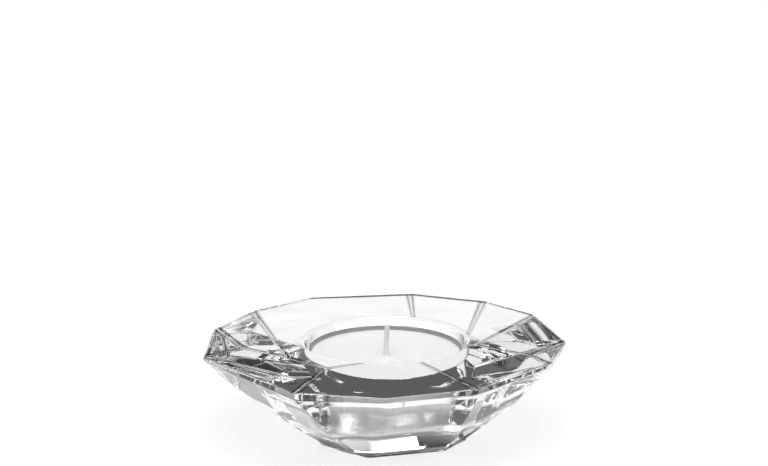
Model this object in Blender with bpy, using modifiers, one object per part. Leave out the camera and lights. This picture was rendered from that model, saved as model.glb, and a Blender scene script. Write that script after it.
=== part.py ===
"""Faceted glass votive holder with a tealight in its round well.

The holder is one block of clear glass, cut like a gemstone: each flat face is
one plane, given by the compass direction it faces, its tilt and where it lies.
The tealight is a pressed aluminium cup with wax, a wick and the small metal
clip (sustainer) that holds the wick upright; it lifts straight out of the well.

Sizes are in millimetres and are turned into metres where geometry is made.
Azimuths are in degrees, counter-clockwise from +X seen from above, and the
front of the holder faces -Y.  The offsets in the facet lists are in units of
one forty-fifth of the rim radius, so the cut grows and shrinks with the holder.
"""

import math

import bmesh
import bpy
from mathutils import Vector

MM = 0.001

# Tealight: a standard 38 mm cup sets the scale of everything round it.
CUP_DIAMETER = 38.0
CUP_HEIGHT = 11.0
CUP_WALL = 0.4
CUP_CORNER_RADIUS = 1.6
WAX_BELOW_CUP_RIM = 1.2
WAX_DISH = 0.9
WICK_DIAMETER = 1.3
WICK_ABOVE_WAX = 8.2
WICK_TIP_CHAMFER = 0.2
SUSTAINER_DIAMETER = 14.0
SUSTAINER_THICKNESS = 0.4
SUSTAINER_NECK_HEIGHT = 3.0
SUSTAINER_NECK_WALL = 0.4

# Clearances between separate pieces.
SEAT_GAP = 0.3
WELL_CLEARANCE = 1.0

# Holder: overall form.
RIM_RADIUS = 45.0
RIM_HEIGHT = 23.0
GIRDLE_HEIGHT = 0.9
WELL_FLOOR_HEIGHT = 10.9
WELL_FLOOR_FILLET = 4.0
WELL_MOUTH_ROUNDING = 0.9
FOOT_RADIUS = 19.0
FOOT_HEIGHT = 1.3

# Facet lists: offsets in facet units (see FACET_UNIT below).
# Rim corners: azimuth, and how far each lies inside the rim radius.
RIM_CORNERS = (
    (5.0, 0.0),
    (33.5, -0.2),
    (53.5, 1.3),
    (80.5, 3.0),
    (116.0, 0.5),
    (140.0, 0.7),
    (163.5, -0.2),
    (191.0, -0.5),
    (241.0, 0.5),
    (270.0, 4.2),
    (302.5, 4.2),
    (342.0, 2.3),
)

# Tilt from level of the upper underside facet below each rim side, in the
# order of the corners above: the first lies between corners one and two.
UPPER_TILTS = (49.0, 49.0, 49.0, 50.0, 50.0, 50.0, 52.0, 46.0, 51.0, 48.0, 52.0, 48.5)

# Lower underside facets: azimuth, tilt from level, and how far outside the
# foot radius each one meets the level of the foot's top.
LOWER_CUTS = (
    (22.0, 37.0, 0.3),
    (62.0, 37.0, -0.6),
    (100.0, 36.0, -1.1),
    (135.0, 36.0, -1.1),
    (165.0, 36.0, -0.6),
    (196.0, 34.5, -1.0),
    (228.0, 35.5, -1.1),
    (261.0, 36.5, -1.2),
    (284.5, 37.0, -2.7),
    (321.0, 42.0, 0.8),
    (352.0, 38.5, 1.5),
)

# Top facets: azimuth each slopes down to, tilt from level, and its height
# over the rim height at the rim radius.
CROWN_CUTS = (
    (15.5, 3.1, 0.83),
    (56.0, 1.4, 1.40),
    (143.0, 1.8, 0.79),
    (164.0, 2.8, 0.60),
    (186.0, 6.2, 0.16),
    (205.0, 6.0, 0.02),
    (283.0, 5.8, -0.22),
    (318.0, 5.2, -0.10),
    (349.0, 6.6, 0.04),
    (357.0, 5.0, 0.21),
)

# Foot corners: azimuth, and how far each lies inside the foot radius.
FOOT_CORNERS = (
    (20.0, -0.5),
    (65.0, 0.0),
    (110.0, 0.0),
    (155.0, 0.3),
    (200.0, 2.5),
    (228.0, 2.2),
    (256.0, 0.8),
    (319.0, -0.2),
    (342.0, -0.7),
)

WELL_SEGMENTS = 96
CUP_SEGMENTS = 64
SUSTAINER_SEGMENTS = 32
WICK_SEGMENTS = 16
FILLET_STEPS = 8

# Derived sizes.


def seat_above_floor():
    """How high the cup stands: on the well's floor, or on the curve of its edge."""
    curve = WELL_FLOOR_FILLET - CUP_CORNER_RADIUS
    inward = curve - WELL_CLEARANCE
    if inward <= 0.0 or curve <= SEAT_GAP + inward:
        return SEAT_GAP
    on_curve = curve - math.sqrt((curve - SEAT_GAP) ** 2 - inward ** 2)
    return max(SEAT_GAP, on_curve)


FACET_UNIT = RIM_RADIUS / 45
CUP_RADIUS = CUP_DIAMETER / 2
CUP_INNER_RADIUS = CUP_RADIUS - CUP_WALL
CUP_BASE_HEIGHT = WELL_FLOOR_HEIGHT + seat_above_floor()
CUP_FLOOR_HEIGHT = CUP_BASE_HEIGHT + CUP_WALL
CUP_RIM_HEIGHT = CUP_BASE_HEIGHT + CUP_HEIGHT
WELL_RADIUS = CUP_RADIUS + WELL_CLEARANCE
WAX_RADIUS = CUP_INNER_RADIUS - SEAT_GAP
WAX_BASE_HEIGHT = CUP_FLOOR_HEIGHT + SEAT_GAP
WAX_EDGE_HEIGHT = CUP_RIM_HEIGHT - WAX_BELOW_CUP_RIM
WAX_CENTRE_HEIGHT = WAX_EDGE_HEIGHT - WAX_DISH
WICK_RADIUS = WICK_DIAMETER / 2
WICK_BORE_RADIUS = WICK_RADIUS + SEAT_GAP
SUSTAINER_RADIUS = SUSTAINER_DIAMETER / 2
SUSTAINER_BASE_HEIGHT = CUP_FLOOR_HEIGHT + SEAT_GAP
SUSTAINER_TOP_HEIGHT = SUSTAINER_BASE_HEIGHT + SUSTAINER_THICKNESS
NECK_RADIUS = WICK_BORE_RADIUS + SUSTAINER_NECK_WALL
NECK_TOP_HEIGHT = SUSTAINER_TOP_HEIGHT + SUSTAINER_NECK_HEIGHT
WICK_BASE_HEIGHT = SUSTAINER_TOP_HEIGHT + SEAT_GAP
WICK_TOP_HEIGHT = WAX_CENTRE_HEIGHT + WICK_ABOVE_WAX


def remove_everything():
    """Empty the scene, so that the script can be run again."""
    for item in list(bpy.data.objects):
        bpy.data.objects.remove(item, do_unlink=True)


def new_collection(name):
    """Make a collection with this name in the scene."""
    collection = bpy.data.collections.new(name)
    bpy.context.scene.collection.children.link(collection)
    return collection


def new_material(name, colour, roughness, metallic=0.0, transmission=0.0, ior=1.45):
    """Make a plain Principled material."""
    material = bpy.data.materials.new(name)
    material.use_nodes = True
    shader = material.node_tree.nodes["Principled BSDF"]
    shader.inputs["Base Color"].default_value = (*colour, 1.0)
    shader.inputs["Roughness"].default_value = roughness
    shader.inputs["Metallic"].default_value = metallic
    shader.inputs["Transmission Weight"].default_value = transmission
    shader.inputs["IOR"].default_value = ior
    material.diffuse_color = (*colour, 1.0)
    return material


def on_circle(azimuth, radius, height):
    """Point at a compass direction, a radius and a height, in millimetres."""
    angle = math.radians(azimuth)
    return Vector((radius * math.cos(angle), radius * math.sin(angle), height))


def rim_corners():
    """Corners of the girdle, level with its top edge."""
    return [on_circle(az, RIM_RADIUS - inset * FACET_UNIT, RIM_HEIGHT) for az, inset in RIM_CORNERS]


def foot_corners():
    """Corners of the foot, on the table."""
    return [on_circle(az, FOOT_RADIUS - inset * FACET_UNIT, 0.0) for az, inset in FOOT_CORNERS]


def facet_normal(azimuth, tilt, up):
    """Outward normal of a facet that faces an azimuth, tilted from level."""
    normal = on_circle(azimuth, math.sin(math.radians(tilt)), 0.0)
    normal.z = math.cos(math.radians(tilt)) * up
    return normal


def cut_facet(mesh, point, normal):
    """Grind one flat facet: drop what lies outside the plane and cap the cut."""
    parts = mesh.verts[:] + mesh.edges[:] + mesh.faces[:]
    cut = bmesh.ops.bisect_plane(
        mesh,
        geom=parts,
        dist=1e-7,
        plane_co=point * MM,
        plane_no=normal,
        clear_outer=True,
    )
    outline = [item for item in cut["geom_cut"] if isinstance(item, bmesh.types.BMEdge)]
    if outline:
        bmesh.ops.edgeloop_fill(mesh, edges=outline)


def side_planes(corners):
    """Upright planes through neighbouring corners, as (point, normal, azimuth)."""
    planes = []
    for index, corner in enumerate(corners):
        following = corners[(index + 1) % len(corners)]
        along = following - corner
        outward = Vector((along.y, -along.x, 0.0)).normalized()
        azimuth = math.degrees(math.atan2(outward.y, outward.x))
        planes.append((corner.copy(), outward, azimuth))
    return planes


def block(width, low, high):
    """Square block of raw material between two heights, as a bmesh."""
    mesh = bmesh.new()
    bmesh.ops.create_cube(mesh, size=1.0)
    bmesh.ops.scale(mesh, vec=Vector((width, width, high - low)) * MM, verts=mesh.verts)
    middle = Vector((0.0, 0.0, (high + low) / 2))
    bmesh.ops.translate(mesh, vec=middle * MM, verts=mesh.verts)
    return mesh


def mesh_object(name, mesh, collection, material=None):
    """Turn a bmesh into an object in a collection."""
    bmesh.ops.recalc_face_normals(mesh, faces=mesh.faces)
    data = bpy.data.meshes.new(name)
    mesh.to_mesh(data)
    mesh.free()
    item = bpy.data.objects.new(name, data)
    collection.objects.link(item)
    if material:
        data.materials.append(material)
    return item


def arc(centre_x, centre_z, radius, start, end, steps):
    """Points of an arc in the X-Z plane, both ends included."""
    points = []
    for step in range(steps + 1):
        angle = math.radians(start + (end - start) * step / steps)
        x = centre_x + radius * math.cos(angle)
        z = centre_z + radius * math.sin(angle)
        points.append((x, z))
    return points


def turned(name, profile, closed, segments, collection, material=None):
    """Turn a profile round the Z axis; it runs down the outer side."""
    data = bpy.data.meshes.new(name)
    points = [(x * MM, 0.0, z * MM) for x, z in profile]
    edges = [(index, index + 1) for index in range(len(points) - 1)]
    if closed:
        edges.append((len(points) - 1, 0))
    data.from_pydata(points, edges, [])
    item = bpy.data.objects.new(name, data)
    collection.objects.link(item)
    screw = item.modifiers.new("Turn", "SCREW")
    screw.steps = segments
    screw.render_steps = segments
    screw.use_merge_vertices = True
    screw.merge_threshold = 0.00001
    screw.use_smooth_shade = True
    if material:
        data.materials.append(material)
    return item


def as_cutter(item):
    """Mark an object as a tool that isn't part of the model."""
    item.hide_render = True
    item.display_type = "WIRE"
    return item


def faceted_bowl():
    """The cut-glass body above its foot, as a convex stone."""
    mesh = block(3.0 * RIM_RADIUS, FOOT_HEIGHT / 2, 2.0 * RIM_HEIGHT)
    drop = Vector((0.0, 0.0, GIRDLE_HEIGHT))
    for (corner, outward, azimuth), tilt in zip(side_planes(rim_corners()), UPPER_TILTS):
        cut_facet(mesh, corner, outward)
        cut_facet(mesh, corner - drop, facet_normal(azimuth, tilt, -1.0))
    for azimuth, tilt, reach in LOWER_CUTS:
        meeting = on_circle(azimuth, FOOT_RADIUS + reach * FACET_UNIT, FOOT_HEIGHT)
        cut_facet(mesh, meeting, facet_normal(azimuth, tilt, -1.0))
    for azimuth, tilt, lift in CROWN_CUTS:
        edge = on_circle(azimuth, RIM_RADIUS, RIM_HEIGHT + lift * FACET_UNIT)
        cut_facet(mesh, edge, facet_normal(azimuth, tilt, 1.0))
    return mesh


def faceted_foot():
    """The low foot that the body stands on."""
    mesh = block(3.0 * FOOT_RADIUS, 0.0, FOOT_HEIGHT)
    for corner, outward, _ in side_planes(foot_corners()):
        cut_facet(mesh, corner, outward)
    return mesh


def well_cutter(collection):
    """The space that the tealight stands in: a round bore with a soft floor edge."""
    fillet = min(WELL_FLOOR_FILLET, WELL_RADIUS / 2)
    top = 2.0 * (RIM_HEIGHT + RIM_RADIUS)
    profile = [(0.0, top), (WELL_RADIUS, top)]
    profile += arc(
        WELL_RADIUS - fillet,
        WELL_FLOOR_HEIGHT + fillet,
        fillet,
        0.0,
        -90.0,
        FILLET_STEPS,
    )
    profile.append((0.0, WELL_FLOOR_HEIGHT))
    return as_cutter(turned("well_cutter", profile, False, WELL_SEGMENTS, collection))


def in_well(face):
    """Whether a face of the holder belongs to its well."""
    reach = (WELL_RADIUS + WELL_MOUTH_ROUNDING + SEAT_GAP) * MM
    level = (WELL_FLOOR_HEIGHT - SEAT_GAP) * MM
    return all(vert.co.xy.length < reach and vert.co.z > level for vert in face.verts)


def soften_mouth(mesh):
    """Round the arris where the well breaks out through the top facets."""
    near = (WELL_RADIUS + SEAT_GAP / 2) * MM
    above = (WELL_FLOOR_HEIGHT + WELL_FLOOR_FILLET + SEAT_GAP) * MM
    arris = []
    for edge in mesh.edges:
        steep = [abs(face.normal.z) < 0.5 for face in edge.link_faces]
        inside = all(vert.co.xy.length < near and vert.co.z > above for vert in edge.verts)
        if inside and any(steep) and not all(steep):
            arris.append(edge)
    bmesh.ops.bevel(
        mesh,
        geom=arris,
        offset=WELL_MOUTH_ROUNDING * MM,
        offset_type="OFFSET",
        segments=3,
        profile=0.5,
        affect="EDGES",
        clamp_overlap=True,
    )


def glass_holder(parts, tools, material):
    """One block of glass: faceted bowl joined to its foot, with the well bored out."""
    bowl = mesh_object("bowl_blank", faceted_bowl(), parts, material)
    foot = as_cutter(mesh_object("foot_blank", faceted_foot(), tools))
    well = well_cutter(tools)
    for tool, operation in ((foot, "UNION"), (well, "DIFFERENCE")):
        cut = bowl.modifiers.new(operation.title(), "BOOLEAN")
        cut.operation = operation
        cut.solver = "EXACT"
        cut.object = tool
    bpy.context.view_layer.update()
    shaped = bowl.evaluated_get(bpy.context.evaluated_depsgraph_get())
    mesh = bmesh.new()
    mesh.from_mesh(shaped.to_mesh())
    shaped.to_mesh_clear()
    bmesh.ops.dissolve_limit(
        mesh,
        angle_limit=math.radians(0.05),
        verts=mesh.verts,
        edges=mesh.edges,
    )
    soften_mouth(mesh)
    bmesh.ops.remove_doubles(mesh, verts=mesh.verts, dist=1e-6)
    for face in mesh.faces:
        face.smooth = in_well(face)
    bpy.data.objects.remove(bowl, do_unlink=True)
    return mesh_object("glass_holder", mesh, parts, material)


def tealight_cup(parts, material):
    """Thin pressed cup, open at the top, with a rounded bottom corner."""
    outer_corner = min(CUP_CORNER_RADIUS, CUP_HEIGHT / 2)
    inner_corner = max(outer_corner - CUP_WALL, 0.1)
    profile = [(0.0, CUP_FLOOR_HEIGHT)]
    profile += arc(
        CUP_INNER_RADIUS - inner_corner,
        CUP_FLOOR_HEIGHT + inner_corner,
        inner_corner,
        -90.0,
        0.0,
        FILLET_STEPS,
    )
    profile.append((CUP_INNER_RADIUS, CUP_RIM_HEIGHT))
    profile.append((CUP_RADIUS, CUP_RIM_HEIGHT))
    profile += arc(
        CUP_RADIUS - outer_corner,
        CUP_BASE_HEIGHT + outer_corner,
        outer_corner,
        0.0,
        -90.0,
        FILLET_STEPS,
    )
    profile.append((0.0, CUP_BASE_HEIGHT))
    return turned("tealight_cup", profile, False, CUP_SEGMENTS, parts, material)


def tealight_wax(parts, material):
    """Cast wax: dished on top, bored for the wick, hollowed over the sustainer."""
    corner = max(CUP_CORNER_RADIUS - CUP_WALL, 0.1)
    dish = []
    for step in range(FILLET_STEPS + 1):
        share = step / FILLET_STEPS
        x = WICK_BORE_RADIUS + (WAX_RADIUS - WICK_BORE_RADIUS) * share
        z = WAX_CENTRE_HEIGHT + WAX_DISH * share ** 2
        dish.append((x, z))
    recess_top = SUSTAINER_TOP_HEIGHT + SEAT_GAP
    recess_radius = SUSTAINER_RADIUS + SEAT_GAP
    sleeve_radius = NECK_RADIUS + SEAT_GAP
    sleeve_top = NECK_TOP_HEIGHT + SEAT_GAP
    profile = dish
    profile += arc(
        WAX_RADIUS - corner,
        WAX_BASE_HEIGHT + corner,
        corner,
        0.0,
        -90.0,
        FILLET_STEPS,
    )
    profile += [
        (recess_radius, WAX_BASE_HEIGHT),
        (recess_radius, recess_top),
        (sleeve_radius, recess_top),
        (sleeve_radius, sleeve_top),
        (WICK_BORE_RADIUS, sleeve_top),
    ]
    return turned("tealight_wax", profile, True, CUP_SEGMENTS, parts, material)


def wick_sustainer(parts, material):
    """Small metal disc with a neck that the wick stands in."""
    profile = [
        (0.0, SUSTAINER_TOP_HEIGHT),
        (WICK_BORE_RADIUS, SUSTAINER_TOP_HEIGHT),
        (WICK_BORE_RADIUS, NECK_TOP_HEIGHT),
        (NECK_RADIUS, NECK_TOP_HEIGHT),
        (NECK_RADIUS, SUSTAINER_TOP_HEIGHT),
        (SUSTAINER_RADIUS, SUSTAINER_TOP_HEIGHT),
        (SUSTAINER_RADIUS, SUSTAINER_BASE_HEIGHT),
        (0.0, SUSTAINER_BASE_HEIGHT),
    ]
    return turned("wick_sustainer", profile, False, SUSTAINER_SEGMENTS, parts, material)


def tealight_wick(parts, material):
    """Stiff cotton wick, from inside the sustainer's neck to above the wax."""
    profile = [
        (0.0, WICK_TOP_HEIGHT),
        (WICK_RADIUS - WICK_TIP_CHAMFER, WICK_TOP_HEIGHT),
        (WICK_RADIUS, WICK_TOP_HEIGHT - WICK_TIP_CHAMFER),
        (WICK_RADIUS, WICK_BASE_HEIGHT),
        (0.0, WICK_BASE_HEIGHT),
    ]
    return turned("tealight_wick", profile, False, WICK_SEGMENTS, parts, material)


def main():
    remove_everything()
    parts = new_collection("votive_holder")
    tools = new_collection("cutters")

    glass = new_material("clear_glass", (0.97, 0.98, 0.98), 0.02, transmission=1.0, ior=1.52)
    aluminium = new_material("aluminium", (0.80, 0.80, 0.80), 0.35, metallic=1.0)
    wax = new_material("white_wax", (0.93, 0.92, 0.90), 0.45)
    cotton = new_material("cotton", (0.85, 0.84, 0.81), 0.9)
    tin = new_material("tinned_steel", (0.70, 0.70, 0.71), 0.3, metallic=1.0)

    glass_holder(parts, tools, glass)

    lift = bpy.data.objects.new("tealight_lift", None)
    lift.empty_display_size = CUP_RADIUS * MM
    parts.objects.link(lift)
    tealight = (
        tealight_cup(parts, aluminium),
        tealight_wax(parts, wax),
        wick_sustainer(parts, tin),
        tealight_wick(parts, cotton),
    )
    for piece in tealight:
        piece.parent = lift


main()
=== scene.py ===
"""Looks of the faceted glass votive holder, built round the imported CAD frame.

The holder's facets are read from the CAD node, so the glass piece here is the
same stone with softened ridges, a smoother well and the slight waviness of
fire-polished glass.  The tealight's cup, wax and wick get finer pieces too.
Lengths are in metres; sizes written in millimetres carry MM.
"""

import math

import bmesh
import bpy
import numpy as np
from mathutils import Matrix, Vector, noise


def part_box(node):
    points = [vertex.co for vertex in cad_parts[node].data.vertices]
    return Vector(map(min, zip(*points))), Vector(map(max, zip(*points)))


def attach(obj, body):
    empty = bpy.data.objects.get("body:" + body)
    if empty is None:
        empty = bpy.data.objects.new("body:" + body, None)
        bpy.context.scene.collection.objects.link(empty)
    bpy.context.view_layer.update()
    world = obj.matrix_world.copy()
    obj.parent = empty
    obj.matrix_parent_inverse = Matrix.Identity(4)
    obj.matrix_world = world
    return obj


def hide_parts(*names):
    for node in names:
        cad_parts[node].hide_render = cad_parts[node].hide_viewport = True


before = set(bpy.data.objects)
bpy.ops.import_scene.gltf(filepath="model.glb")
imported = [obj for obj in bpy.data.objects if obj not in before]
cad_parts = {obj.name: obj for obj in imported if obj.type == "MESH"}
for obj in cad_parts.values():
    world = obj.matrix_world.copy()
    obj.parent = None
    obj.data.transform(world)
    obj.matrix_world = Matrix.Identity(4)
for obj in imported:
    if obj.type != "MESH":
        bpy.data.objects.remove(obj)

MM = 0.001
UP = np.array([0.0, 0.0, 1.0])
SAME_POINT = 1e-7
NO_RATE = 1e-9
TINY = 1e-12
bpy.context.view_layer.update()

# Camera, as the photograph's: 17.6 degrees above the table, long lens.
VIEW_ELEVATION = 17.6
VIEW_DISTANCE = 0.700
VIEW_PIVOT = Vector((0.0, 0.0, 22.0 * MM))
PIXELS_PER_MM = 4.04
FRAME_WIDTH, FRAME_HEIGHT = 768, 466
PIVOT_PIXEL = (385.8, 350.5)
SENSOR_WIDTH = 36.0
CLIP_RANGE = (0.01, 50.0)

# Room, as lit surfaces, glass and metal see it. The backdrop and the rest of
# the room are stops of (sine of the elevation, brightness). BACKDROP_SIDE says
# how far to the back a direction has to point before it meets the backdrop.
BACKDROP_BRIGHTNESS = ((0.0, 1.0), (0.24, 1.0), (0.30, 0.14), (1.0, 0.08))
ROOM_BRIGHTNESS = ((0.0, 0.06), (0.04, 0.06), (0.10, 0.03), (1.0, 0.03))
BACKDROP_SIDE = (0.78, 0.94)

# Lamp: where its middle lies, and stops of (cosine of the angle from there,
# brightness). The last stop is the brightest thing in the room.
LAMP_TOWARDS = (0.0, -0.26, 0.966)
LAMP_BRIGHTNESS = ((0.0, 0.0), (0.86, 0.0), (0.92, 4.9))
LAMP_PEAK = LAMP_BRIGHTNESS[-1][1]

# Floor: its colour in the light and to the camera, and the shade that glass
# and metal see in its middle, where the tealight keeps the light away.
FLOOR_RADIUS = 3.0
FLOOR_SEGMENTS = 96
FLOOR_LEVEL = 0.01 * MM
FLOOR_COLOUR = 0.85
FLOOR_SEEN_COLOUR = 0.24
FLOOR_GLOW = 0.80
FLOOR_ROUGHNESS = 0.9
SHADE_CENTRE = (2.0 * MM, 5.0 * MM, 0.0)
SHADE_EDGE = (21.0 * MM, 26.0 * MM)
SHADE_SEEN = 0.11

# Glass holder, sized as in the part's source.
WELL_RADIUS = 20.0 * MM
WELL_FLOOR = 10.9 * MM
WELL_FILLET = 4.0 * MM
MOUTH_ROUNDING = 0.9 * MM
FOOT_TOP = 1.3 * MM
RIM_HEIGHT = 23.0 * MM
GLASS_IOR = 1.52

# Facets in the CAD node: faces within this turn and distance of each other are
# one facet. A slope here is the Z part of a facet's normal. The margins say
# which faces belong to the well: in mouth roundings, and below its floor.
SAME_TURN = math.cos(math.radians(0.25))
SAME_PLANE = 0.02 * MM
SAME_FACET = 1e-6
SMALLEST_FACE = 1e-9
SMALLEST_SIDE = 4.0 * MM * MM
SMALLEST_FACET = 40.0 * MM * MM
UPRIGHT_SLOPE = 0.01
TOP_SLOPE = 0.5
GROOVED_SLOPE = 0.9
LEVEL_SLOPE = 0.9999
MOUTH_MARGIN = 1.4
FLOOR_MARGIN = 0.3 * MM

# Ridges: how wide each kind is rounded off, and the fine groove and the two lines of
# painted shade along those of the top, which darken the glass's colour there. The
# spread of the shade lines is how far apart they lie, by distance from the axis.
RIDGE_WIDTH = 2.2 * MM
TOP_RIDGE_WIDTH = 1.0 * MM
EDGE_WIDTH = 0.25 * MM
GROOVE_DEPTH = 0.14 * MM
GROOVE_REACH = 0.32 * MM
RIDGE_SHADE_ATTRIBUTE = "painted_ridge_shade"
RIDGE_SHADE_APART = 0.46 * MM
RIDGE_SHADE_WIDTH = 0.34 * MM
RIDGE_SHADE_SPREAD = ((21.0 * MM, 44.0 * MM), (0.7, 1.5))

# The glass's skin: rings round the axis, with their points crowded near the
# ridges that cross the top at these radii.
SKIN_SEGMENTS = 960
SKIN_STEP = 0.28 * MM
SKIN_ROUNDS = 5
TOP_STEP = SKIN_STEP * 1.6
CROWDED_RADII = (22.0 * MM, 27.0 * MM, 33.0 * MM, 39.0 * MM)
CROWDED_REACH = 1.0 * MM
CROWDING = 5.0
CROWDING_SAMPLES = SKIN_SEGMENTS * 12
RIM_FAN = 2.4 * MM
FAN_STEPS = 12
BASE_RINGS = 12
WELL_FILLET_STEPS = 16
WALL_STEPS = 8
MOUTH_STEPS = 8
WAVINESS = 0.04 * MM
WAVE_LENGTH = 13.0 * MM
WAVE_FADE = 2.0 * MM
WAVE_SEED = 1

# Tealight. The wax's bore is (radius, depth), its creep is (height, reach), its
# ripple is (height, length) and the ripple's margin is (below, at the wall).
ROUND_SEGMENTS = 192
ARC_STEPS = 8
CUP_WALL = 0.4 * MM
CUP_CORNER = 1.6 * MM
# Inside this radius the foil gets painted shade.
CUP_SHADE_RADIUS = 18.75 * MM
WAX_GAP = 0.42 * MM
WAX_CORNER = 1.1 * MM
WAX_DISH = 0.9 * MM
WAX_BORE = (0.6 * MM, 1.0 * MM)
WAX_STEPS = 40
WAX_CROWDING = 1.2
WAX_CREEP_AT_WICK = (0.35 * MM, 0.6 * MM)
WAX_CREEP_AT_CUP = (0.12 * MM, 0.5 * MM)
WAX_RIPPLE = (0.05 * MM, 5.0 * MM)
RIPPLE_MARGIN = (0.2 * MM, 0.1 * MM)
WICK_AROUND, WICK_ALONG = 48, 220
WICK_PITCH = 2.6 * MM
STRAND_DEPTH = 0.10
CROSSING_STRANDS = 0.9
WICK_SHRINK = 0.99
WICK_TOP_GAP = 0.05 * MM
WICK_END = 0.5 * MM
WICK_END_TAPER = 0.25
WICK_LEAN = 0.35 * MM
WICK_WHITENING = (22.5 * MM, 27.5 * MM)


# Mesh helpers.


def link(item):
    """Put an object in the scene."""
    bpy.context.scene.collection.objects.link(item)
    return item


def mesh_piece(name, mesh, smooth=True, turn_out=True):
    """Turn a bmesh into an object in the scene, by default with its faces turned out."""
    if turn_out:
        bmesh.ops.recalc_face_normals(mesh, faces=mesh.faces)
    data = bpy.data.meshes.new(name)
    mesh.to_mesh(data)
    mesh.free()
    if smooth:
        data.polygons.foreach_set("use_smooth", [True] * len(data.polygons))
    return link(bpy.data.objects.new(name, data))


def arc(centre_x, centre_z, radius, start, end):
    """Points of an arc in the X-Z plane, both ends included."""
    points = []
    for step in range(ARC_STEPS + 1):
        angle = math.radians(start + (end - start) * step / ARC_STEPS)
        points.append((centre_x + radius * math.cos(angle), centre_z + radius * math.sin(angle)))
    return points


def turned_mesh(profile):
    """Turn an open profile that starts and ends on the Z axis into a closed bmesh."""
    mesh = bmesh.new()
    rings = []
    for x, z in profile:
        if x < SAME_POINT:
            rings.append([mesh.verts.new((0.0, 0.0, z))])
            continue
        ring = []
        for step in range(ROUND_SEGMENTS):
            angle = 2.0 * math.pi * step / ROUND_SEGMENTS
            ring.append(mesh.verts.new((x * math.cos(angle), x * math.sin(angle), z)))
        rings.append(ring)
    for upper, lower in zip(rings, rings[1:]):
        for step in range(ROUND_SEGMENTS):
            following = (step + 1) % ROUND_SEGMENTS
            if len(upper) == 1:
                mesh.faces.new((upper[0], lower[step], lower[following]))
            elif len(lower) == 1:
                mesh.faces.new((upper[step], lower[0], upper[following]))
            else:
                mesh.faces.new((upper[step], lower[step], lower[following], upper[following]))
    return mesh


# Material helpers.


def grey(level):
    """A grey as a colour socket takes it."""
    return (level, level, level, 1.0)


def new_material(name):
    """A node material: itself, its tree and its shader."""
    material = bpy.data.materials.new(name)
    material.use_nodes = True
    tree = material.node_tree
    return material, tree, tree.nodes["Principled BSDF"]


def add_node(tree, kind, **values):
    """Add a shader node and set its properties and sockets by name."""
    node = tree.nodes.new(kind)
    for key, value in values.items():
        if hasattr(node, key):
            setattr(node, key, value)
        else:
            node.inputs[key].default_value = value
    return node


def feed(tree, socket, value):
    """Link an input to another node's output, or set it where the value is a constant."""
    if isinstance(value, bpy.types.NodeSocket):
        tree.links.new(value, socket)
    else:
        socket.default_value = value


def maths(tree, operation, first, second):
    """A maths operation on two numbers; returns its socket."""
    node = add_node(tree, "ShaderNodeMath", operation=operation)
    feed(tree, node.inputs[0], first)
    feed(tree, node.inputs[1], second)
    return node.outputs[0]


def vector_maths(tree, operation, first, second=(0.0, 0.0, 0.0)):
    """An operation on one or two vectors; returns its node, with outputs Vector and Value."""
    node = add_node(tree, "ShaderNodeVectorMath", operation=operation)
    feed(tree, node.inputs[0], first)
    feed(tree, node.inputs[1], second)
    return node


def ranged(tree, value, source, target=(0.0, 1.0), kind="SMOOTHSTEP"):
    """Carry a number over from one range to another; returns its socket."""
    fit = add_node(tree, "ShaderNodeMapRange", interpolation_type=kind)
    fit.inputs["From Min"].default_value, fit.inputs["From Max"].default_value = source
    fit.inputs["To Min"].default_value, fit.inputs["To Max"].default_value = target
    tree.links.new(value, fit.inputs["Value"])
    return fit.outputs["Result"]


def mixed(tree, amount, first, second, kind="MIX"):
    """Mix two colours; returns the colour socket."""
    mix = add_node(tree, "ShaderNodeMix", data_type="RGBA", blend_type=kind)
    feed(tree, mix.inputs[0], amount)
    feed(tree, mix.inputs[6], first)
    feed(tree, mix.inputs[7], second)
    return mix.outputs[2]


def mixed_shader(tree, amount, first, second):
    """Mix two shaders; returns the shader socket."""
    mix = add_node(tree, "ShaderNodeMixShader")
    feed(tree, mix.inputs[0], amount)
    tree.links.new(first.outputs[0], mix.inputs[1])
    tree.links.new(second.outputs[0], mix.inputs[2])
    return mix.outputs[0]


def object_place(tree):
    """Socket with the place of a point in the object's own space."""
    return add_node(tree, "ShaderNodeTexCoord").outputs["Object"]


def noise_between(tree, low, high, scale, detail=3.0, stretch=(1.0, 1.0, 1.0)):
    """Object-space noise whose value runs between two numbers; returns its socket."""
    mapping = add_node(tree, "ShaderNodeMapping", Scale=stretch)
    texture = add_node(tree, "ShaderNodeTexNoise", Scale=scale, Detail=detail)
    tree.links.new(object_place(tree), mapping.inputs["Vector"])
    tree.links.new(mapping.outputs["Vector"], texture.inputs["Vector"])
    return ranged(tree, texture.outputs["Fac"], (0.3, 0.7), (low, high), "LINEAR")


def add_bump(tree, shader, height, distance, strength):
    """Bump a shader's normal by a height socket."""
    bump = add_node(tree, "ShaderNodeBump", Strength=strength, Distance=distance)
    tree.links.new(height, bump.inputs["Height"])
    tree.links.new(bump.outputs["Normal"], shader.inputs["Normal"])


# The room.


def make_camera():
    """Camera where the photograph was taken from, aimed so that no lens shift is needed."""
    data = bpy.data.cameras.new("camera")
    camera = link(bpy.data.objects.new("camera", data))
    elevation = math.radians(VIEW_ELEVATION)
    back = Vector((0.0, -math.cos(elevation), math.sin(elevation)))
    camera.location = VIEW_PIVOT + back * VIEW_DISTANCE
    focal = PIXELS_PER_MM * VIEW_DISTANCE / MM
    right = math.atan((PIVOT_PIXEL[0] - FRAME_WIDTH / 2) / focal)
    below = math.atan((PIVOT_PIXEL[1] - FRAME_HEIGHT / 2) / focal)
    camera.rotation_euler = (math.pi / 2 - elevation + below, 0.0, right)
    data.sensor_width = SENSOR_WIDTH
    data.lens = SENSOR_WIDTH * focal / FRAME_WIDTH
    data.clip_start, data.clip_end = CLIP_RANGE
    bpy.context.scene.camera = camera


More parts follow.
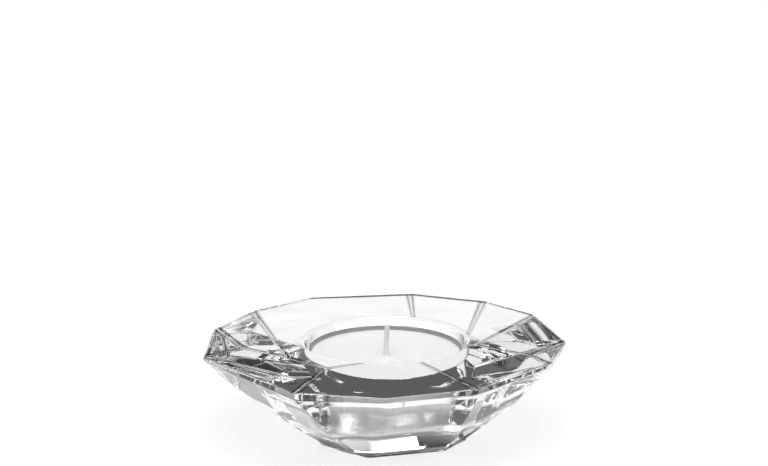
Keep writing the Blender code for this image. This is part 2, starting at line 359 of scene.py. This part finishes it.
def brightness_ramp(tree, stops, value):
    """Colour ramp of (place, brightness) stops, as shares of the lamp; returns its socket."""
    ramp = add_node(tree, "ShaderNodeValToRGB")
    elements = ramp.color_ramp.elements
    for index, (place, level) in enumerate(stops):
        element = elements[index] if index < 2 else elements.new(place)
        element.position = place
        element.color = grey(level / LAMP_PEAK)
    tree.links.new(value, ramp.inputs["Fac"])
    return ramp.outputs["Color"]


def make_room():
    """Dim room with a white backdrop behind and a soft round lamp overhead, towards the front.

    The camera itself sees plain white.
    """
    world = bpy.data.worlds.new("studio")
    bpy.context.scene.world = world
    world.use_nodes = True
    tree = world.node_tree
    tree.nodes.clear()
    direction = add_node(tree, "ShaderNodeTexCoord").outputs["Generated"]
    split = add_node(tree, "ShaderNodeSeparateXYZ")
    tree.links.new(direction, split.inputs[0])
    backdrop = brightness_ramp(tree, BACKDROP_BRIGHTNESS, split.outputs["Z"])
    around = brightness_ramp(tree, ROOM_BRIGHTNESS, split.outputs["Z"])
    side = ranged(tree, split.outputs["Y"], BACKDROP_SIDE)
    angle = vector_maths(tree, "DOT_PRODUCT", direction, LAMP_TOWARDS).outputs["Value"]
    lamp = brightness_ramp(tree, LAMP_BRIGHTNESS, angle)
    lit = mixed(tree, 1.0, mixed(tree, side, around, backdrop), lamp, "ADD")
    room = add_node(tree, "ShaderNodeBackground", Strength=LAMP_PEAK)
    tree.links.new(lit, room.inputs["Color"])
    seen = add_node(tree, "ShaderNodeBackground", Strength=1.0, Color=grey(1.0))
    path = add_node(tree, "ShaderNodeLightPath")
    output = add_node(tree, "ShaderNodeOutputWorld")
    chosen = mixed_shader(tree, path.outputs["Is Camera Ray"], room, seen)
    tree.links.new(chosen, output.inputs["Surface"])


def floor_material():
    """Pale floor: white to the camera but for the holder's shadow, shaded in its middle to glass."""
    material, tree, shader = new_material("pale_floor")
    path = add_node(tree, "ShaderNodeLightPath")
    to_camera = path.outputs["Is Camera Ray"]
    paint = mixed(tree, to_camera, grey(FLOOR_COLOUR), grey(FLOOR_SEEN_COLOUR))
    tree.links.new(paint, shader.inputs["Base Color"])
    shader.inputs["Roughness"].default_value = FLOOR_ROUGHNESS
    shader.inputs["Specular IOR Level"].default_value = 0.0
    shader.inputs["Emission Color"].default_value = grey(1.0)
    glow = maths(tree, "MULTIPLY", to_camera, FLOOR_GLOW)
    tree.links.new(glow, shader.inputs["Emission Strength"])
    aside = vector_maths(tree, "DISTANCE", object_place(tree), SHADE_CENTRE).outputs["Value"]
    white = add_node(tree, "ShaderNodeEmission")
    tree.links.new(ranged(tree, aside, SHADE_EDGE, (SHADE_SEEN, 1.0)), white.inputs["Strength"])
    through = maths(tree, "MAXIMUM", path.outputs["Is Glossy Ray"], path.outputs["Is Transmission Ray"])
    chosen = mixed_shader(tree, through, shader, white)
    tree.links.new(chosen, tree.nodes["Material Output"].inputs["Surface"])
    return material


def make_floor():
    """Round floor, wide enough to reach past the picture."""
    mesh = bmesh.new()
    bmesh.ops.create_circle(mesh, cap_ends=True, radius=FLOOR_RADIUS, segments=FLOOR_SEGMENTS)
    floor = mesh_piece("floor", mesh, smooth=False)
    floor.location.z = FLOOR_LEVEL
    floor.data.materials.append(floor_material())


def light_paths():
    """Enough bounces for light to find its way through the facets."""
    cycles = bpy.context.scene.cycles
    cycles.max_bounces = 32
    cycles.transmission_bounces = 32
    cycles.glossy_bounces = 16
    cycles.diffuse_bounces = 4


# The glass holder: its facets, as read from the CAD node.


def facet_planes(node):
    """The node's upright and sloping facets outside its well.

    Each is [point, normal, its largest face's area, its area in all].
    """
    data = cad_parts[node].data
    near = WELL_RADIUS + MOUTH_ROUNDING * MOUTH_MARGIN
    groups = []
    for face in data.polygons:
        corners = [data.vertices[index].co for index in face.vertices]
        if all(co.xy.length < near and co.z > WELL_FLOOR - FLOOR_MARGIN for co in corners):
            continue
        if face.area < SMALLEST_FACE:
            continue
        for group in groups:
            same_way = group[1].dot(face.normal) > SAME_TURN
            if same_way and abs((face.center - group[0]).dot(group[1])) < SAME_PLANE:
                group[3] += face.area
                if face.area > group[2]:
                    group[:3] = [face.center.copy(), face.normal.copy(), face.area]
                break
        else:
            groups.append([face.center.copy(), face.normal.copy(), face.area, face.area])
    upright = [g for g in groups if abs(g[1].z) < UPRIGHT_SLOPE and g[3] > SMALLEST_SIDE]
    sloping = [g for g in groups if UPRIGHT_SLOPE < abs(g[1].z) < LEVEL_SLOPE and g[3] > SMALLEST_FACET]
    return upright, sloping


def plane_arrays(planes):
    """Normals of some facet planes, and their distances from the origin."""
    normals = np.array([tuple(plane[1]) for plane in planes])
    points = np.array([tuple(plane[0]) for plane in planes])
    return normals, (normals * points).sum(axis=1)


def turns(normals):
    """How sharply each pair of facets turns at their shared ridge."""
    return np.linalg.norm(normals[:, None] - normals[None], axis=2)


def ridge_blend(normals):
    """How far below its neighbour each facet starts to round off their shared ridge."""
    top = normals[:, 2] > TOP_SLOPE
    below = normals[:, 2] < -UPRIGHT_SLOPE
    width = np.where(top[:, None] & top[None], TOP_RIDGE_WIDTH, EDGE_WIDTH)
    width = np.where(below[:, None] & below[None], RIDGE_WIDTH, width)
    return np.maximum(turns(normals) * width / 2, NO_RATE)


def ridge_groove(normals):
    """Height difference at which the fine groove along a ridge of the top fades out."""
    turn = turns(normals)
    top = (normals[:, 2] > GROOVED_SLOPE) & (normals[:, 2] < LEVEL_SLOPE)
    both = top[:, None] & top[None] & (turn > SAME_FACET)
    return np.where(both, turn * GROOVE_REACH, TINY)


def crowded_angles(planes):
    """Angles round the Z axis, crowded where a ridge of the top crosses a crowded radius."""
    normals, offsets = plane_arrays([plane for plane in planes if plane[1].z > TOP_SLOPE])
    angles = np.linspace(0.0, 2.0 * math.pi, CROWDING_SAMPLES, endpoint=False)
    density = np.ones(CROWDING_SAMPLES)
    for radius in CROWDED_RADII:
        spots = radius * np.stack([np.cos(angles), np.sin(angles)], axis=1)
        lead = ((offsets - spots @ normals[:, :2].T) / normals[:, 2]).argmin(axis=1)
        for place in np.flatnonzero(lead != np.roll(lead, 1)):
            apart = np.abs((angles - angles[place] + math.pi) % (2.0 * math.pi) - math.pi)
            wanted = np.where(apart < CROWDED_REACH / radius, CROWDING, 1.0)
            density = np.maximum(density, wanted)
    share = np.cumsum(density) / density.sum()
    return np.interp(np.arange(SKIN_SEGMENTS) / SKIN_SEGMENTS, share, angles)


class Stone:
    """A convex stone of facets whose skin is found ring by ring round the Z axis."""

    def __init__(self, planes, angles):
        self.normals, self.offsets = plane_arrays(planes)
        self.blend = ridge_blend(self.normals)
        self.groove = ridge_groove(self.normals)
        self.around = np.stack([np.cos(angles), np.sin(angles), np.zeros(SKIN_SEGMENTS)], axis=1)

    def reach(self, origins, directions):
        """How far each ray goes to the skin, with its ridges rounded and finely grooved."""
        rates = directions @ self.normals.T
        gaps = self.offsets - origins @ self.normals.T
        rays = np.arange(len(origins))
        towards = rates > NO_RATE
        reach = np.where(towards, gaps / np.where(towards, rates, 1.0), 1.0).min(axis=1)
        for _ in range(SKIN_ROUNDS):
            heights = reach[:, None] * rates - gaps
            lead = heights.argmax(axis=1)
            blend = self.blend[lead]
            overlap = np.maximum(blend - (heights[rays, lead][:, None] - heights), 0.0)
            overlap[rays, lead] = 0.0
            height = heights[rays, lead] + (overlap ** 2 / (4.0 * blend)).sum(axis=1)
            turning = overlap / (2.0 * blend) * (rates - rates[rays, lead][:, None])
            reach = reach - height / (rates[rays, lead] + turning.sum(axis=1))
        away = (heights[rays, lead][:, None] - heights) / self.groove[lead]
        depth = GROOVE_DEPTH * np.exp(-away ** 2).sum(axis=1)
        return reach - depth * rates[rays, lead].clip(0.0, 1.0)

    def ring(self, radius, height, elevation):
        """Radius and height where rays from a ring, rising by an elevation, meet the skin."""
        slope = math.radians(elevation)
        origins = self.around * np.reshape(radius, (-1, 1)) + UP * height
        directions = self.around * math.cos(slope) + UP * math.sin(slope)
        reach = self.reach(origins, directions)
        return radius + reach * math.cos(slope), height + reach * math.sin(slope)


# The glass holder: its rings, from the middle of the base round to the middle of the well.


def level_ring(radius, height):
    """A round, level ring."""
    return np.full(SKIN_SEGMENTS, radius), np.full(SKIN_SEGMENTS, height)


def foot_rings(foot, bowl_radius):
    """Rings over the foot: its base, its side and the ledge that the bowl stands on."""
    middle = FOOT_TOP / 2
    side, _ = foot.ring(np.zeros(SKIN_SEGMENTS), middle, 0.0)
    centre = np.minimum(side, bowl_radius) - middle
    rings = [(centre * step / BASE_RINGS, np.zeros(SKIN_SEGMENTS)) for step in range(1, BASE_RINGS)]
    for step in range(FAN_STEPS + 1):
        elevation = -90.0 + 180.0 * step / FAN_STEPS
        radius, height = foot.ring(centre, middle, elevation)
        if elevation > 0.0:
            radius = np.maximum(radius, bowl_radius)
        rings.append((radius, height))
    return rings


def bowl_rings(bowl):
    """Rings up the underside and round the rim, and where those over the top start."""
    fan_height = RIM_HEIGHT - RIM_FAN
    steps = round((fan_height - FOOT_TOP) / SKIN_STEP)
    axis = np.zeros(SKIN_SEGMENTS)
    rings = []
    for step in range(steps):
        rings.append(bowl.ring(axis, FOOT_TOP + (fan_height - FOOT_TOP) * step / steps, 0.0))
    centre = bowl.ring(axis, fan_height, 0.0)[0] - RIM_FAN / 2
    for step in range(FAN_STEPS * 2 + 1):
        rings.append(bowl.ring(centre, fan_height, 90.0 * step / (FAN_STEPS * 2)))
    return rings, centre


def top_rings(bowl, outside):
    """Rings in over the top and round the well's mouth."""
    below = WELL_FLOOR + WELL_FILLET
    mouth = WELL_RADIUS + MOUTH_ROUNDING
    rings = []
    steps = round((outside.max() - mouth) / TOP_STEP)
    for step in range(1, steps + 1):
        rings.append(bowl.ring(outside + (mouth - outside) * step / steps, below, 90.0))
    for step in range(1, MOUTH_STEPS + 1):
        turn = math.radians(90.0 * step / MOUTH_STEPS)
        radius = np.full(SKIN_SEGMENTS, mouth - MOUTH_ROUNDING * math.sin(turn))
        top = bowl.ring(radius, below, 90.0)[1]
        rings.append((radius, top - MOUTH_ROUNDING * (1 - math.cos(turn))))
    return rings


def well_rings(mouth):
    """Rings down the well's wall and over its floor, from the last ring of its mouth."""
    below = WELL_FLOOR + WELL_FILLET
    wall, wall_top = mouth
    rings = []
    for step in range(1, WALL_STEPS):
        rings.append((wall, wall_top + (below - wall_top) * step / WALL_STEPS))
    for step in range(WELL_FILLET_STEPS + 1):
        turn = math.radians(90.0 * step / WELL_FILLET_STEPS)
        radius = WELL_RADIUS - WELL_FILLET * (1 - math.cos(turn))
        rings.append(level_ring(radius, below - WELL_FILLET * math.sin(turn)))
    inside = WELL_RADIUS - WELL_FILLET
    for step in range(1, BASE_RINGS):
        rings.append(level_ring(inside * (1 - step / BASE_RINGS), WELL_FLOOR))
    return rings


def skin_mesh(around, rings):
    """Closed mesh through rings of (radius, height), with a point on the axis at each end."""
    points = [around * radius[:, None] + UP * height[:, None] for radius, height in rings]
    ends = np.array([[0.0, 0.0, rings[0][1][0]], [0.0, 0.0, rings[-1][1][0]]])
    corners = np.concatenate(points + [ends])
    first = np.arange(SKIN_SEGMENTS)
    second = (first + 1) % SKIN_SEGMENTS
    quads = []
    for row in range(len(rings) - 1):
        low, high = row * SKIN_SEGMENTS, (row + 1) * SKIN_SEGMENTS
        quads.append(np.stack([low + first, low + second, high + second, high + first], axis=1))
    faces = np.concatenate(quads).tolist()
    low, high = len(corners) - 2, len(corners) - 1
    last = (len(rings) - 1) * SKIN_SEGMENTS
    pairs = list(zip(first.tolist(), second.tolist()))
    faces += [(low, b, a) for a, b in pairs]
    faces += [(high, last + a, last + b) for a, b in pairs]
    data = bpy.data.meshes.new("skin")
    data.from_pydata(corners.tolist(), [], faces)
    mesh = bmesh.new()
    mesh.from_mesh(data)
    bpy.data.meshes.remove(data)
    bmesh.ops.remove_doubles(mesh, verts=mesh.verts, dist=SAME_POINT)
    return mesh


def fire_polish(mesh):
    """Let the facets wander a few hundredths of a millimetre, as fire-polished glass does."""
    noise.seed_set(WAVE_SEED)
    for vert in mesh.verts:
        drift = noise.noise_vector(vert.co / WAVE_LENGTH) * WAVINESS
        fade = min(1.0, max(0.0, vert.co.z / WAVE_FADE))
        vert.co += drift * fade


def painted_ridge_shade(planes, data):
    """How near each point lies to one of the two fine lines of painted shade along a top ridge, from 0
    to 1.
    """
    normals, offsets = plane_arrays([plane for plane in planes if plane[1].z > TOP_SLOPE])
    turn = turns(normals)
    np.fill_diagonal(turn, TINY)
    points = np.array([tuple(vert.co) for vert in data.vertices])
    rows = np.arange(len(points))
    heights = points @ normals.T - offsets
    lead = heights.argmax(axis=1)
    peak = heights[rows, lead]
    aside = (peak[:, None] - heights) / turn[lead]
    aside[rows, lead] = 1.0
    spread = np.interp(np.hypot(points[:, 0], points[:, 1]), *RIDGE_SHADE_SPREAD)
    lines = np.exp(-((aside.min(axis=1) / spread - RIDGE_SHADE_APART) / RIDGE_SHADE_WIDTH) ** 2)
    return np.where(peak > -GROOVE_DEPTH * 2.0, lines, 0.0)


def glass_material():
    """Clear, colourless glass, with painted shade darkening its colour in fine lines along the top's
    ridges.
    """
    material, tree, shader = new_material("clear_glass")
    ridge_shade = add_node(tree, "ShaderNodeAttribute", attribute_name=RIDGE_SHADE_ATTRIBUTE)
    # Painted shade: the glass's colour goes to black along the lines beside each of the top's ridges.
    colour = mixed(tree, ridge_shade.outputs["Fac"], grey(1.0), grey(0.0))
    tree.links.new(colour, shader.inputs["Base Color"])
    shader.inputs["Transmission Weight"].default_value = 1.0
    shader.inputs["Roughness"].default_value = 0.0
    shader.inputs["IOR"].default_value = GLASS_IOR
    return material


def make_glass():
    """The holder's glass, from the CAD node's own facets."""
    upright, sloping = facet_planes("glass_holder")
    level = Vector(UP)
    foot_planes = [plane for plane in upright if plane[0].z < FOOT_TOP]
    foot_planes += [(Vector(), -level), (level * FOOT_TOP, level)]
    bowl_planes = [plane for plane in upright if plane[0].z > FOOT_TOP] + sloping
    angles = crowded_angles(bowl_planes)
    foot = Stone(foot_planes, angles)
    bowl = Stone(bowl_planes, angles)
    lowest = bowl.ring(np.zeros(SKIN_SEGMENTS), FOOT_TOP, 0.0)[0]
    sides, outside = bowl_rings(bowl)
    rings = foot_rings(foot, lowest) + sides + top_rings(bowl, outside)
    rings += well_rings(rings[-1])
    mesh = skin_mesh(bowl.around, rings)
    fire_polish(mesh)
    glass = mesh_piece("glass_body", mesh, turn_out=False)
    # Painted shade along the top's ridges, stored on the mesh's points.
    ridge_shade = glass.data.attributes.new(RIDGE_SHADE_ATTRIBUTE, "FLOAT", "POINT")
    ridge_shade.data.foreach_set("value", painted_ridge_shade(bowl_planes, glass.data))
    glass.data.materials.append(glass_material())
    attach(glass, "holder")
    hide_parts("glass_holder")


# The tealight.


def aluminium_material():
    """Pressed foil: fine drawing lines up the wall, slightly uneven, with painted shade making it
    darker inside the cup.
    """
    material, tree, shader = new_material("aluminium")
    lines = noise_between(tree, 0.0, 1.0, scale=900.0, detail=2.0, stretch=(1.0, 1.0, 0.05))
    flat = vector_maths(tree, "MULTIPLY", object_place(tree), (1.0, 1.0, 0.0))
    reach = vector_maths(tree, "LENGTH", flat.outputs["Vector"]).outputs["Value"]
    inside = maths(tree, "LESS_THAN", reach, CUP_SHADE_RADIUS)
    # Painted shade: the foil inside the cup is a darker grey.
    colour = mixed(tree, inside, mixed(tree, lines, grey(0.80), grey(0.92)), grey(0.48))
    tree.links.new(colour, shader.inputs["Base Color"])
    shader.inputs["Metallic"].default_value = 1.0
    tree.links.new(noise_between(tree, 0.50, 0.58, scale=500.0), shader.inputs["Roughness"])
    add_bump(tree, shader, lines, distance=0.004 * MM, strength=0.3)
    return material


def wax_material():
    """White wax, a little translucent, with a faint mottle."""
    material, tree, shader = new_material("white_wax")
    mottle = noise_between(tree, 0.0, 1.0, scale=350.0, detail=4.0)
    colour = mixed(tree, mottle, (0.93, 0.93, 0.925, 1.0), (0.97, 0.97, 0.965, 1.0))
    tree.links.new(colour, shader.inputs["Base Color"])
    shader.inputs["Subsurface Weight"].default_value = 0.6
    shader.inputs["Subsurface Radius"].default_value = (1.0, 0.9, 0.8)
    shader.inputs["Subsurface Scale"].default_value = 2.0 * MM
    tree.links.new(noise_between(tree, 0.35, 0.5, scale=700.0), shader.inputs["Roughness"])
    grain = noise_between(tree, 0.0, 1.0, scale=900.0, detail=4.0)
    add_bump(tree, shader, grain, distance=0.02 * MM, strength=0.4)
    return material


def cotton_material():
    """Waxed cotton, whiter towards its top."""
    material, tree, shader = new_material("cotton")
    fibres = noise_between(tree, 0.0, 1.0, scale=4000.0, detail=4.0, stretch=(1.0, 1.0, 0.25))
    waxed = mixed(tree, fibres, (0.90, 0.90, 0.89, 1.0), (0.98, 0.98, 0.97, 1.0))
    split = add_node(tree, "ShaderNodeSeparateXYZ")
    tree.links.new(object_place(tree), split.inputs[0])
    whitening = ranged(tree, split.outputs["Z"], WICK_WHITENING)
    colour = mixed(tree, whitening, waxed, (0.96, 0.96, 0.955, 1.0))
    tree.links.new(colour, shader.inputs["Base Color"])
    shader.inputs["Roughness"].default_value = 0.8
    add_bump(tree, shader, fibres, distance=0.05 * MM, strength=0.5)
    return material


def tin_material():
    """Tinned steel, lightly brushed."""
    material, tree, shader = new_material("tinned_steel")
    grain = noise_between(tree, 0.0, 1.0, scale=1500.0, stretch=(1.0, 0.1, 1.0))
    colour = mixed(tree, grain, (0.66, 0.66, 0.67, 1.0), (0.74, 0.74, 0.75, 1.0))
    tree.links.new(colour, shader.inputs["Base Color"])
    shader.inputs["Metallic"].default_value = 1.0
    tree.links.new(noise_between(tree, 0.25, 0.4, scale=900.0), shader.inputs["Roughness"])
    return material


def make_cup():
    """Thin pressed cup with a rounded lip."""
    low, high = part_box("tealight_cup")
    radius = high.x
    lip = CUP_WALL / 2
    across, up = radius - CUP_CORNER, low.z + CUP_CORNER
    profile = [(0.0, low.z + CUP_WALL)]
    profile += arc(across, up, CUP_CORNER - CUP_WALL, -90.0, 0.0)
    profile += arc(radius - lip, high.z - lip, lip, 180.0, 0.0)
    profile += arc(across, up, CUP_CORNER, 0.0, -90.0)
    profile.append((0.0, low.z))
    cup = mesh_piece("tealight_foil_cup", turned_mesh(profile))
    cup.data.materials.append(aluminium_material())
    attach(cup, "tealight")
    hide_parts("tealight_cup")


def creep(distance, height, reach):
    """How high the wax is drawn up at a distance from what it clings to."""
    return height * math.exp(-distance / reach)


def make_wax():
    """Poured wax: dished, drawn up a little at the cup and at the wick."""
    low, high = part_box("tealight_wax")
    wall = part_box("tealight_cup")[1].x - WAX_GAP
    bore, bore_depth = WAX_BORE
    centre = high.z - WAX_DISH
    profile = [(0.0, centre - bore_depth), (bore, centre - bore_depth)]
    for step in range(WAX_STEPS + 1):
        share = (step / WAX_STEPS) ** WAX_CROWDING
        x = bore + (wall - bore) * share
        z = centre + WAX_DISH * share ** 2
        z += creep(x - bore, *WAX_CREEP_AT_WICK) + creep(wall - x, *WAX_CREEP_AT_CUP)
        profile.append((x, z))
    profile += arc(wall - WAX_CORNER, low.z + WAX_CORNER, WAX_CORNER, 0.0, -90.0)
    profile.append((0.0, low.z))
    mesh = turned_mesh(profile)
    ripple, ripple_length = WAX_RIPPLE
    below, aside = RIPPLE_MARGIN
    for vert in mesh.verts:
        if vert.co.z > centre - below and vert.co.xy.length < wall - aside:
            vert.co.z += ripple * noise.noise(vert.co / ripple_length)
    wax = mesh_piece("tealight_poured_wax", mesh)
    wax.data.materials.append(wax_material())
    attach(wax, "tealight")
    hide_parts("tealight_wax")


def strand_bulge(angle, z):
    """How far the braid's strands stand out at a point of the wick, from 0 to 1."""
    turn = 2.0 * math.pi * z / WICK_PITCH
    left = math.cos(2.0 * (angle + turn))
    right = math.cos(2.0 * (angle - turn))
    return max(abs(left), abs(right) * CROSSING_STRANDS)


def make_wick():
    """Braided wick that leans a little, with a blunt end."""
    low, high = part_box("tealight_wick")
    radius = high.x * WICK_SHRINK
    mesh = bmesh.new()
    rings = []
    for row in range(WICK_ALONG + 1):
        z = low.z + (high.z - WICK_TOP_GAP - low.z) * row / WICK_ALONG
        end = max(0.0, 1.0 - (high.z - z) / WICK_END)
        lean = WICK_LEAN * ((z - low.z) / (high.z - low.z)) ** 2
        ring = []
        for column in range(WICK_AROUND):
            angle = 2.0 * math.pi * column / WICK_AROUND
            braid = (1.0 - STRAND_DEPTH) + STRAND_DEPTH * strand_bulge(angle, z)
            local = radius * braid * (1.0 - WICK_END_TAPER * end ** 2)
            x, y = local * math.cos(angle) + lean, local * math.sin(angle)
            ring.append(mesh.verts.new((x, y, z)))
        rings.append(ring)
    for lower, upper in zip(rings, rings[1:]):
        for column in range(WICK_AROUND):
            following = (column + 1) % WICK_AROUND
            mesh.faces.new((lower[column], lower[following], upper[following], upper[column]))
    mesh.faces.new(rings[0])
    mesh.faces.new(rings[-1])
    wick = mesh_piece("tealight_braided_wick", mesh)
    wick.data.materials.append(cotton_material())
    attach(wick, "tealight")
    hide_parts("tealight_wick")


def dress_sustainer():
    """The sustainer keeps its CAD shape and gets its metal."""
    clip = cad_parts["wick_sustainer"]
    clip.data.materials.clear()
    clip.data.materials.append(tin_material())


def set_colours():
    """Colours as written, with no grading."""
    bpy.context.scene.view_settings.view_transform = "Standard"


make_camera()
make_room()
make_floor()
light_paths()
set_colours()
make_glass()
make_cup()
make_wax()
make_wick()
dress_sustainer()
